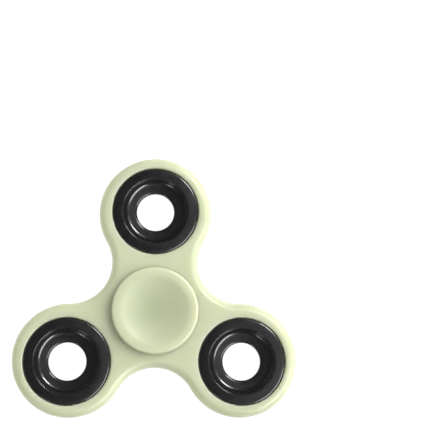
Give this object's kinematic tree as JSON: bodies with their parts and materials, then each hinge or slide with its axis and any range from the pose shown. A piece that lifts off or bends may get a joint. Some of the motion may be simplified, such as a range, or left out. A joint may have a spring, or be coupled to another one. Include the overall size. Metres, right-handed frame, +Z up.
{
  "type": "fidget spinner",
  "caption": "Lobed fidget spinner: glow-plastic body with dished black ring weights, turning on a central ball bearing held between dished finger caps.",
  "frame": {"origin": "centre of the ball bearing, on the spin axis at mid thickness, which is also the centroid", "axes": "+Z up along the spin axis through the finger caps; +Y towards the lobe of weight_ring_1; +X across the other two lobes, the longest extent"},
  "size_m": [0.0756, 0.0694, 0.0116],
  "materials": {
    "body_plastic": "satin moulded ABS with phosphorescent pigment, pale yellow-green in daylight",
    "cap_plastic": "satin moulded ABS with phosphorescent pigment, pale yellow-green in daylight",
    "weight_enamel": "glossy black enamel on a cast steel ring",
    "race_steel": "ground and polished bearing steel",
    "ball_steel": "mirror-polished bearing steel",
    "pressed_steel": "pressed mild steel, lightly oiled",
    "spring_steel": "drawn spring steel wire"
  },
  "bodies": {
    "hub": {"finger_cap_lower": "cap_plastic", "finger_cap_upper": "cap_plastic", "bearing_inner_race": "race_steel"},
    "rotor": {"spinner_body": "body_plastic", "weight_ring_1": "weight_enamel", "weight_ring_2": "weight_enamel", "weight_ring_3": "weight_enamel", "bearing_outer_race": "race_steel", "bearing_shield_upper": "pressed_steel", "bearing_shield_lower": "pressed_steel", "shield_clip_upper": "spring_steel", "shield_clip_lower": "spring_steel"},
    "cage": {"bearing_cage_upper": "pressed_steel", "bearing_cage_lower": "pressed_steel"},
    "ball_1": {"bearing_ball_1": "ball_steel"},
    "ball_2": {"bearing_ball_2": "ball_steel"},
    "ball_3": {"bearing_ball_3": "ball_steel"},
    "ball_4": {"bearing_ball_4": "ball_steel"},
    "ball_5": {"bearing_ball_5": "ball_steel"},
    "ball_6": {"bearing_ball_6": "ball_steel"},
    "ball_7": {"bearing_ball_7": "ball_steel"}
  },
  "joints": [
    {"name": "spin", "type": "hinge", "parent": "hub", "child": "rotor", "pos_m": [0, 0, 0], "axis": [0, 0, 1], "continuous": true},
    {"name": "cage_orbit", "type": "hinge", "parent": "hub", "child": "cage", "pos_m": [0, 0, 0], "axis": [0, 0, 1], "continuous": true},
    {"name": "ball_roll_1", "type": "hinge", "parent": "cage", "child": "ball_1", "pos_m": [0, 0.0075, 0], "axis": [0, 0, 1], "continuous": true},
    {"name": "ball_roll_2", "type": "hinge", "parent": "cage", "child": "ball_2", "pos_m": [-0.00586, 0.00468, 0], "axis": [0, 0, 1], "continuous": true},
    {"name": "ball_roll_3", "type": "hinge", "parent": "cage", "child": "ball_3", "pos_m": [-0.00731, -0.00167, 0], "axis": [0, 0, 1], "continuous": true},
    {"name": "ball_roll_4", "type": "hinge", "parent": "cage", "child": "ball_4", "pos_m": [-0.00325, -0.00676, 0], "axis": [0, 0, 1], "continuous": true},
    {"name": "ball_roll_5", "type": "hinge", "parent": "cage", "child": "ball_5", "pos_m": [0.00325, -0.00676, 0], "axis": [0, 0, 1], "continuous": true},
    {"name": "ball_roll_6", "type": "hinge", "parent": "cage", "child": "ball_6", "pos_m": [0.00731, -0.00167, 0], "axis": [0, 0, 1], "continuous": true},
    {"name": "ball_roll_7", "type": "hinge", "parent": "cage", "child": "ball_7", "pos_m": [0.00586, 0.00468, 0], "axis": [0, 0, 1], "continuous": true}
  ],
  "couplings": [
    {"joint": "cage_orbit", "follows": "spin", "ratio": 0.6323},
    {"joint": "ball_roll_1", "follows": "spin", "ratio": 1.7573},
    {"joint": "ball_roll_2", "follows": "spin", "ratio": 1.7573},
    {"joint": "ball_roll_3", "follows": "spin", "ratio": 1.7573},
    {"joint": "ball_roll_4", "follows": "spin", "ratio": 1.7573},
    {"joint": "ball_roll_5", "follows": "spin", "ratio": 1.7573},
    {"joint": "ball_roll_6", "follows": "spin", "ratio": 1.7573},
    {"joint": "ball_roll_7", "follows": "spin", "ratio": 1.7573}
  ]
}
